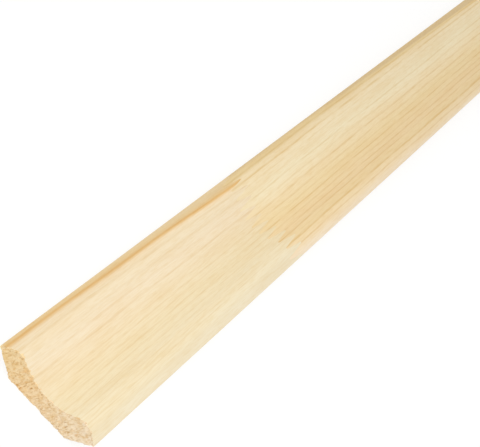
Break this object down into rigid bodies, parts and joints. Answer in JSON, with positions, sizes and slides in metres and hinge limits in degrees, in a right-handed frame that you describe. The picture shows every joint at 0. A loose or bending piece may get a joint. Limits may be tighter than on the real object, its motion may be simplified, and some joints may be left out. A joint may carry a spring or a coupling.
{
  "type": "ceiling moulding",
  "caption": "Straight length of finger-jointed pine cove moulding: a hollow face between round noses, bevelled at the back to seat in the corner of wall and ceiling.",
  "frame": {"origin": "under the middle of the bar, on the plane of its flat back", "axes": "+X along the bar away from the end that shows, +Y across it, +Z out of the flat back towards the hollow face"},
  "size_m": [2, 0.045, 0.0142],
  "materials": {
    "pale_pine": "planed, unfinished",
    "warm_pine": "planed, unfinished"
  },
  "bodies": {
    "root": {"pine_block_1": "pale_pine", "pine_block_2": "warm_pine", "pine_block_3": "pale_pine", "pine_block_4": "warm_pine", "pine_block_5": "pale_pine"}
  },
  "joints": []
}
